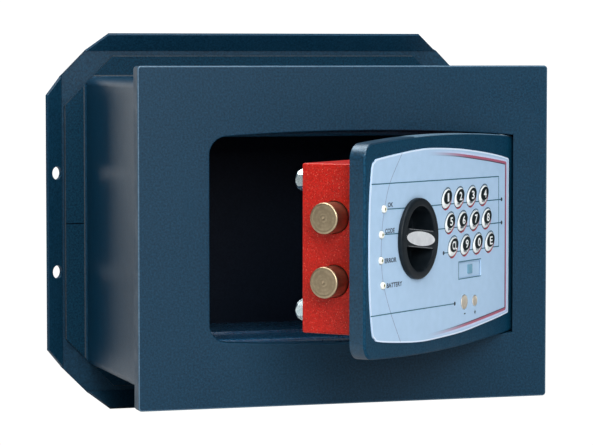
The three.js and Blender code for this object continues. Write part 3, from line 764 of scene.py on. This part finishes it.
GAP = 0.3
LAMP_R = 2.5
LAMPS = {"ok": (24.2, 26.1), "code": (20.6, 9.3), "error": (19.9, -7.7), "battery": (22.8, -24.4)}
CONTACTS = {"minus": (46.1, -45.1, 5.0), "plus": (62.9, -45.4, 3.75)}
KEYS = ["1", "2", "3", "4", "5", "6", "7", "8", "clear", "9", "0", "enter"]
KEY_A, KEY_B, LEAN = 7.9, 5.5, 41
FIRST_KEY, PITCH_X, PITCH_Z, ROW_SHIFT = (17.4, 28.6), 19.5, 16.9, 5.07
SPOTS = [
    (FIRST_KEY[0] + PITCH_X * column + ROW_SHIFT * row, FIRST_KEY[1] - PITCH_Z * row)
    for row in range(3) for column in range(4)]

LABEL_TOP = [
    (217.6, 53.2), (202.6, 55.8), (186.0, 58.0), (169.6, 59.8), (153.5, 61.3), (140.0, 62.4),
    (118.9, 63.6), (91.4, 64.4), (70.0, 63.8), (50.5, 62.5), (18.4, 59.9), (12.0, 58.2)]
LABEL_LEFT = [(8.0, 53.4), (4.9, 30), (4.0, 0), (4.9, -30), (8.4, -54.3)]
LABEL_BOTTOM = [
    (12.0, -59.0), (17.9, -61.4), (47.9, -64.7), (81.0, -67.0), (115.3, -66.8), (140.0, -66.1),
    (154.7, -65.1), (170.0, -63.7), (187.2, -62.1), (203.9, -60.3), (217.6, -58.5)]
LABEL_RIGHT = [(217.6, -30), (217.6, 0), (217.6, 30)]
label_curve = through([e(*p) for p in LABEL_TOP + LABEL_LEFT + LABEL_BOTTOM], 4)
label_outline = soften(label_curve + [e(*p) for p in LABEL_RIGHT], 2.0)


def control_label():
    form = Form()
    soft = [(0.1, FILM_FRONT), (0, -0.8), (0, FILM_BACK)]
    holes = [(ellipse(x, z, KEY_A + GAP, KEY_B + GAP, LEAN), soft) for x, z in SPOTS]
    holes += [(circle(*e(*p), LAMP_R + GAP, 24), soft) for p in LAMPS.values()]
    holes += [(circle(x, z, r + GAP, 32), soft) for x, z, r in CONTACTS.values()]
    holes += [(circle(*KNOB, KNOB_HOLE, 72), [(0, FILM_FRONT), (0, FILM_BACK)])]
    holes += [(round_rect(37, -28, 72.5, -17, 0.5, 3), [(0.2, FILM_FRONT), (0, -0.7), (0, FILM_BACK)])]
    form.plate(label_outline, arris(FILM_FRONT, FILM_BACK, 0.3, 0.05, 3), holes)
    form.build("control_label_film", ON_DOOR, "door", [label_film], ["control_label"])


def label_printing():
    """Lines, dots, words and key surrounds. The lines stop under the knob's rim."""
    inks = [teal_ink, dark_ink, plum_ink, label_edge_highlight, crescent_ink, outline_ink]
    TEAL, DARK, PLUM, RIM, RED, GREY = range(6)
    ink = Form()
    # The pale line just inside the label's edge is a painted highlight.
    ink.ribbon(offset(label_outline, 0.65), 0.9, INK_Y, RIM, closed=True)
    lamp_arc = [(50.5, 62.1), (33.3, 43.3), (25.3, 26.1), (21.4, 9.2), (21.0, -7.8), (24.5, -24.5),
                (34.5, -43.5), (49.0, -64.5)]
    ink.ribbon(through([e(*p) for p in lamp_arc], 12), 0.45, INK_Y, PLUM)
    keypad_end, ok_end, code_end, low_end = (112.7, -8.7), (205.5, 24.1), (205.7, 7.4), (130.3, -45.0)
    for path in (
        [(7.0, 43.1), (200.5, 40.7), (201.1, -9.4), keypad_end],
        [(27.0, 25.9), (55.5, 25.3), (58.0, 25.28)],
        [(85.0, 25.06), ok_end],
        [(23.9, 9.4), (45.3, 8.8)],
        [(97.4, 8.35), code_end],
        [(6.3, -43.5), low_end],
    ):
        ink.ribbon([e(*p) for p in path], 0.75, INK_Y - 0.01, TEAL)
    for end in (keypad_end, ok_end, code_end, low_end):
        ink.blot(circle(*e(*end), 1.4, 20), INK_Y - 0.02, DARK)
    for x, z in SPOTS:
        ink.blot(ellipse(x + 1.0, z - 0.8, 8.5, 6.0, LEAN), INK_Y - 0.02, RED)
        ink.ribbon(ellipse(x - 0.3, z + 0.35, 8.5, 6.1, LEAN), 0.6, INK_Y - 0.03, GREY, closed=True)
    for words, start, stop, z in (
        ("OK", 30.0, 37.5, 27.1), ("CODE", 26.3, 39.8, 9.9),
        ("ERROR", 25.7, 42.6, -9.8), ("BATTERY", 28.6, 50.9, -26.4),
    ):
        ink.text(words, *e(start, z), 3.1, INK_Y, stop - start, heavy=0.03, slot=DARK)
    minus = [(144.9, -53.3), (147.5, -53.3)]
    plus_across, plus_up = [(161.3, -53.5), (163.9, -53.5)], [(162.6, -54.9), (162.6, -52.1)]
    for path, width in ((minus, 0.9), (plus_across, 0.8), (plus_up, 1.0)):
        ink.ribbon([e(*p) for p in path], width, INK_Y, DARK)
    cover_frame = [(172.0, -16.4), (136.2, -16.4), (136.2, -28.5), (172.1, -28.5)]
    ink.ribbon([e(*p) for p in cover_frame], 0.7, INK_Y, TEAL)
    ink.build("label_printing", ON_DOOR, "door", inks, closed=False)


# Red stripe and pale border that fade in from the left along the top and bottom.
STRIPE_TOP = [(88.1, 61.0), (128.2, 58.9), (153.6, 56.7), (169.7, 55.1), (186.0, 53.4), (202.6, 51.4),
              (211.9, 50.2)]
STRIPE_RIGHT = [(212.6, 49.6), (212.6, -54.8)]
STRIPE_BOTTOM = [(212.0, -55.4), (203.8, -56.2), (187.2, -57.8), (154.7, -60.6), (122.2, -62.7),
                 (87.8, -64.0)]
FADE_FROM, FADE_OVER = 84, 75


def fading(name, near, far, material):
    """A strip between two offsets of the stripe's path, with its fade in a mesh attribute."""
    path = through([e(*p) for p in STRIPE_TOP], 8) + [e(*p) for p in STRIPE_RIGHT]
    path += through([e(*p) for p in STRIPE_BOTTOM], 8)
    pts = [Vector(p) for p in path]
    longer = [pts[0] * 2 - pts[1], *pts, pts[-1] * 2 - pts[-2]]
    moves = [mitre(*three, 0.6) for three in zip(longer, longer[1:], longer[2:])]
    one, two = ([tuple(p + m * d) for p, m in zip(pts, moves)] for d in (near, far))
    form = Form()
    form.rails(one, two, INK_Y - 0.005)
    obj = form.build(name, ON_DOOR, "door", [material], closed=False)
    values = obj.data.attributes.new("fade", "FLOAT", "POINT")
    for i, p in enumerate(pts * 2):
        t = max(0.0, min(1.0, (p.x - DOOR_LEFT - FADE_FROM) / FADE_OVER))
        values.data[i].value = t * t * (3 - 2 * t)


control_label()
label_printing()
fading("label_stripe", -0.8, 0.85, stripe_ink)
fading("label_stripe_line", -1.5, -0.8, stripe_line_ink)
fading("label_border", 0.85, 2.1, border_ink)

# ---------------------------------------------------------------- keys, lamps, contacts, sliding cover
LEGENDS = ["", "ABC", "DEF", "GHI", "JKL", "MNO", "PQR", "STU", "", "VWX", "YZ", "-"]
KEY_DOME = [
    (5.2, -2.28), (3.6, -2.26), (2.2, -2.2), (1.2, -2.1), (0.65, -1.93), (0.25, -1.6), (0.03, -1.1),
    (0, -0.6), (0, 4.6)]


def key(name, x, z, legend):
    cap = Form()
    cap.plate(ellipse(x, z, KEY_A, KEY_B, LEAN, 48), KEY_DOME)
    cap.build(f"key_{name}_cap", ON_DOOR, f"button_{name}", [key_white], [f"key_{name}"],
              smooth=60)
    DISC, DIGIT, LEGEND = range(3)
    top = Form()
    top.blot(ellipse(x - 0.3, z + 1.2, 6.4, 4.6, 18, 40), -2.31, DISC)
    mark = {"clear": "CL", "enter": "E"}.get(name, name)
    wide = {"clear": 7.4, "1": 2.4}.get(name, 4.4)
    top.text(mark, x + 0.3 - wide / 2, z - 1.7, 5.8, -2.33, wide, heavy=0.02, slot=DIGIT)
    if legend:
        wide = 4.9 if len(legend) > 1 else 1.6
        top.text(legend, x - 5.2, z - 4.6, 1.4, -2.3, wide, heavy=0.05, slot=LEGEND)
    top.build(f"key_{name}_marking", ON_DOOR, f"button_{name}", [key_disc, digit_ink, legend_ink],
              closed=False)


def lamp(name, cx, cz):
    form = Form()
    dome = [(1.15, -2.35), (1.5, -2.5), (1.9, -2.45), (2.25, -2.0), (LAMP_R, -1.2), (LAMP_R, 7.5)]
    core = [(0.25, -2.46), (0.7, -2.42), (1.0, -2.35), (1.16, -2.25), (1.16, 0)]
    form.lathe(cx, cz, dome, 40)
    form.lathe(cx, cz, core, 28, slot=1)
    form.build(f"lamp_{name}_dome", ON_DOOR, "door", [lamp_white, lamp_core], [f"lamp_{name}"],
               smooth=60)


def contact(name, x, z, r):
    form = Form()
    form.lathe(x, z, [(0.4, -1.0), (r * 0.5, -1.02), (r - 0.9, -1.05), (r - 0.6, -1.2), (r - 0.25, -1.16),
                      (r, -0.9), (r, 5.7)], 48)
    metal = turned_metal(f"contact_{name}_metal", (0.95, 0.88, 0.76, 1), (0.84, 0.76, 0.64, 1), 0.48,
                         (x, 0, z), "Y", 0.5, 0.004)
    form.build(f"contact_{name}_disc", ON_DOOR, "door", [metal], [f"battery_contact_{name}"])


def keyhole_cover():
    """A plate that slides behind the film, with three ribs for a fingernail."""
    form = Form()
    form.plate(round_rect(36.4, -28.7, 74.1, -16.6, 0.5, 3), arris(0.3, 1.7, 0.15, 0.15, 2))
    for middle in (53.6, 56.0, 58.4):
        rib = round_rect(middle - 0.6, -25.8, middle + 0.6, -19.3, 0.5, 4)
        form.plate(rib, arris(-0.9, 1.0, 0.4, 0.05, 3), slot=1)
    form.build("keyhole_cover_slide", ON_DOOR, "cover", [label_film, rib_ink], ["keyhole_cover"])


for name, (x, z), legend in zip(KEYS, SPOTS, LEGENDS):
    key(name, x, z, legend)
for name, spot in LAMPS.items():
    lamp(name, *e(*spot))
for name, (x, z, r) in CONTACTS.items():
    contact(name, x, z, r)
keyhole_cover()


# ---------------------------------------------------------------- bolt box and bolts
def bolt_box():
    """The box lies along x behind the door. Its edges by the door are sharper than those at the back."""
    front, bottom, back, top = 12.3, -58.1, 57.5, 55.6
    sharp, round_ = 0.2, 1.6
    corners = (
        arc(back - round_, top - round_, round_, 0, 90, 5)
        + arc(front + sharp, top - sharp, sharp, 90, 180, 2)
        + arc(front + sharp, bottom + sharp, sharp, 180, 270, 2)
        + arc(back - round_, bottom + round_, round_, 270, 360, 5))
    rows = [(1.15, -81.5), (0.65, -81.42), (0.25, -81.1), (0.05, -80.7), (0, -80.3),
            (0, 99.0), (0.35, 100.15), (1.15, 100.5)]
    hole_rows = [(0.5, -81.5), (0.15, -81.35), (0, -81.0), (0, -79.0)]
    form = Form(sideways)
    form.plate(corners, rows, [(circle(BOLT_Y, z, 10.9, 64), hole_rows) for z in BOLT_LEVELS.values()])
    form.build("bolt_box_coated", ON_DOOR, "door", [red_paint], ["bolt_box"])


def lock_bolt(name, z):
    tip = DOOR_LEFT + 3
    profile = [
        (0.25, 0.25), (0.75, 0.08), (1.0, 0.0), (2.5, 0.0), (2.75, 0.06), (3.0, 0.0), (7.8, 0.0), (8.1, 0.1),
        (8.4, 0.0), (9.3, 0.0), (9.8, 0.1), (10.15, 0.35), (10.4, 0.75), (10.4, 20.0)]
    form = Form(sideways)
    form.lathe(BOLT_Y, z, [(r, tip + w) for r, w in profile], 96)
    form.lathe(BOLT_Y, z, [(10.3, tip + 19.9), (10.3, tip + 38.0)], 48)
    metal = turned_metal(f"bolt_{name}_nickel", (0.47, 0.375, 0.245, 1), (0.33, 0.26, 0.165, 1), 0.42,
                         (0, BOLT_Y, z), "X", 0.45, 0.007)
    form.build(f"bolt_{name}_turned", ON_DOOR, "bolt_work", [metal], [f"bolt_{name}"], smooth=30)


bolt_box()
for name, z in BOLT_LEVELS.items():
    lock_bolt(name, z)


# ---------------------------------------------------------------- knob
KNOB_TILT = math.radians(-6)
KNOB_RIM = [(1.9, -4.6), (1.2, -4.5), (0.6, -4.2), (0.18, -3.7), (0, -3.0), (0, -1.3), (0.4, -1.2),
            (3.1, -1.2), (3.1, 15.0)]
WELL_ROWS = [(0.9, -4.6), (0.5, -4.52), (0.2, -4.25), (0.05, -3.9), (0, -3.4), (0, 11.4), (-0.6, 12.0)]
BADGE_ROWS = [(0.9, -4.7), (0.75, -4.71), (0.6, -4.78), (0.4, -4.8), (0.15, -4.76), (0, -4.62), (0, -3.65)]


def on_knob(points, more=0.0):
    return turned(points, KNOB_TILT + more, *KNOB)


def knob():
    """A disc with a finger well on each side of the grip, and a thin ridge along each side of the badge. The
    ridges take a lighter grey than the knob, a painted highlight.
    """
    well = soften([(u, v + 1.6) for u, v in arc(0, 0, 20.4, 13, 167, 28)], 2.6)
    form = Form()
    form.plate(circle(*KNOB, 27.6, 96), KNOB_RIM,
               [(on_knob(well), WELL_ROWS), (on_knob(well, math.pi), WELL_ROWS)])
    for v in (5.75, -5.75):
        ridge = soften([(-17.5, v - 0.25), (17.5, v - 0.25), (17.5, v + 0.25), (-17.5, v + 0.25)], 0.2)
        form.plate(on_knob(ridge), arris(-4.8, -4.4, 0.15, 0.05, 3), slot=1)
    form.build("knob_moulding", ON_DOOR, "turn_knob", [knob_black, knob_ridge_highlight], ["knob"])


def knob_badge():
    form = Form()
    form.plate(on_knob(ellipse(0, 0, 20.6, 4.9, 0, 72)), BADGE_ROWS)
    form.build("knob_badge_plate", ON_DOOR, "turn_knob", [badge_silver], ["knob_badge"], smooth=60)


knob()
knob_badge()

# ---------------------------------------------------------------- CAD nodes that stay, with softened arrises
KEPT = {
    "door_stop_top": (slate, 0.5), "door_stop_bottom": (sill_highlight_paint, 0.9), "bolt_keeper": (steel, 0.3),
    "hinge_pin_top": (steel, 0.2), "hinge_pin_bottom": (steel, 0.2), "lock_chassis": (steel, 0.2),
    "bolt_carriage": (steel, 0.3), "spindle": (steel, 0.3), "cam": (zinc, 0.3), "solenoid": (tray_black, 0.4),
    "solenoid_plunger": (zinc, 0.2), "control_board": (board_green, 0.1), "key_board": (board_green, 0.1),
    "battery_tray": (tray_black, 0.4), "cell_1": (cell_wrap, 0.3), "cell_2": (cell_wrap, 0.3),
    "emergency_lock": (brass, 0.2),
}
KEPT.update({f"post_{i}": (steel, 0.2) for i in (1, 2, 3, 4)})
KEPT.update({f"hex_bolt_{i}": (zinc, 0.35) for i in (1, 2, 3, 4)})


def dress(node, material, width):
    """Gives a CAD node its material and bevels its edges by width."""
    for slot in node.material_slots:
        slot.material = material
    weld = node.modifiers.new("weld", "WELD")
    weld.merge_threshold = 1e-6
    bevel = node.modifiers.new("bevel", "BEVEL")
    bevel.width, bevel.segments, bevel.limit_method = width * MM, 2, "ANGLE"
    bevel.angle_limit, bevel.use_clamp_overlap = math.radians(30), True
    weighted = node.modifiers.new("weighted", "WEIGHTED_NORMAL")
    weighted.keep_sharp = True


for name, (material, width) in KEPT.items():
    dress(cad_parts[name], material, width)

# ---------------------------------------------------------------- camera, floor and light
scene = bpy.context.scene
CAMERA_PLACE, CAMERA_LENS = (-0.59682, -1.99845, 0.12754), 162.03
YAW, PITCH = 0.3027, -0.0627


def turn_to(obj, direction):
    obj.rotation_mode = "QUATERNION"
    obj.rotation_quaternion = direction.to_track_quat("-Z", "Y")


def camera():
    data = bpy.data.cameras.new("camera")
    data.lens, data.sensor_width = CAMERA_LENS, 36
    data.clip_start, data.clip_end = 0.05, 50
    obj = bpy.data.objects.new("camera", data)
    scene.collection.objects.link(obj)
    obj.location = CAMERA_PLACE
    level = math.cos(PITCH)
    turn_to(obj, Vector((math.sin(YAW) * level, math.cos(YAW) * level, math.sin(PITCH))))
    scene.camera = obj


def studio_floor():
    """A pale floor that the camera sees as plain white paper."""
    half, z = 6, cad_low.z - 0.0003
    mesh = bpy.data.meshes.new("floor")
    corners = [(-half, -half, z), (half, -half, z), (half, half, z), (-half, half, z)]
    mesh.from_pydata(corners, [], [(0, 1, 2, 3)])
    obj = bpy.data.objects.new("floor", mesh)
    scene.collection.objects.link(obj)
    paper = Shader("studio_floor", Roughness=0.9, Specular_IOR_Level=0.0)
    paper.colour(paper.mix(paper.noise(300, 2.0, 0.5), (0.48, 0.49, 0.50, 1), (0.52, 0.53, 0.54, 1)))
    lit = paper.add("ShaderNodeEmission")
    lit.inputs["Strength"].default_value = 1.05
    both = paper.add("ShaderNodeMixShader")
    paper.link(paper.add("ShaderNodeLightPath").outputs["Is Camera Ray"], both.inputs[0])
    paper.link(paper.bsdf.outputs[0], both.inputs[1])
    paper.link(lit.outputs[0], both.inputs[2])
    paper.link(both.outputs[0], paper.tree.nodes["Material Output"].inputs["Surface"])
    mesh.materials.append(paper.material)


def studio_world():
    """A dim cool surround that the camera sees as white."""
    world = bpy.data.worlds.new("studio")
    world.use_nodes = True
    scene.world = world
    nodes, links = world.node_tree.nodes, world.node_tree.links
    around = nodes["Background"]
    around.inputs["Color"].default_value = (0.93, 0.97, 1.0, 1)
    around.inputs["Strength"].default_value = 0.13
    seen = nodes.new("ShaderNodeBackground")
    seen.inputs["Color"].default_value = (1, 1, 1, 1)
    seen.inputs["Strength"].default_value = 1.1
    both = nodes.new("ShaderNodeMixShader")
    links.new(nodes.new("ShaderNodeLightPath").outputs["Is Camera Ray"], both.inputs[0])
    links.new(around.outputs[0], both.inputs[1])
    links.new(seen.outputs[0], both.inputs[2])
    links.new(both.outputs[0], nodes["World Output"].inputs["Surface"])


def area_light(name, place, aim, size, power):
    data = bpy.data.lights.new(name, "AREA")
    data.shape, data.size, data.size_y = "RECTANGLE", size[0], size[1]
    data.energy = power
    light = bpy.data.objects.new(name, data)
    scene.collection.objects.link(light)
    light.location = place
    turn_to(light, Vector(aim) - Vector(place))


camera()
studio_floor()
studio_world()
area_light("key_light", (-0.75, -2.4, 1.2), (0, -0.2, 0), (1.2, 1.4), 31)
area_light("fill_light", (-0.05, -2.6, 0.9), (0, -0.2, 0), (1.1, 1.3), 40)
area_light("top_light", (-0.4, -0.15, 1.7), (-0.1, -0.15, 0), (2.2, 1.2), 62)
area_light("back_light", (-0.95, 2.3, 0.2), (-0.14, 0, 0), (0.7, 3.8), 14)
scene.view_settings.view_transform = "Standard"
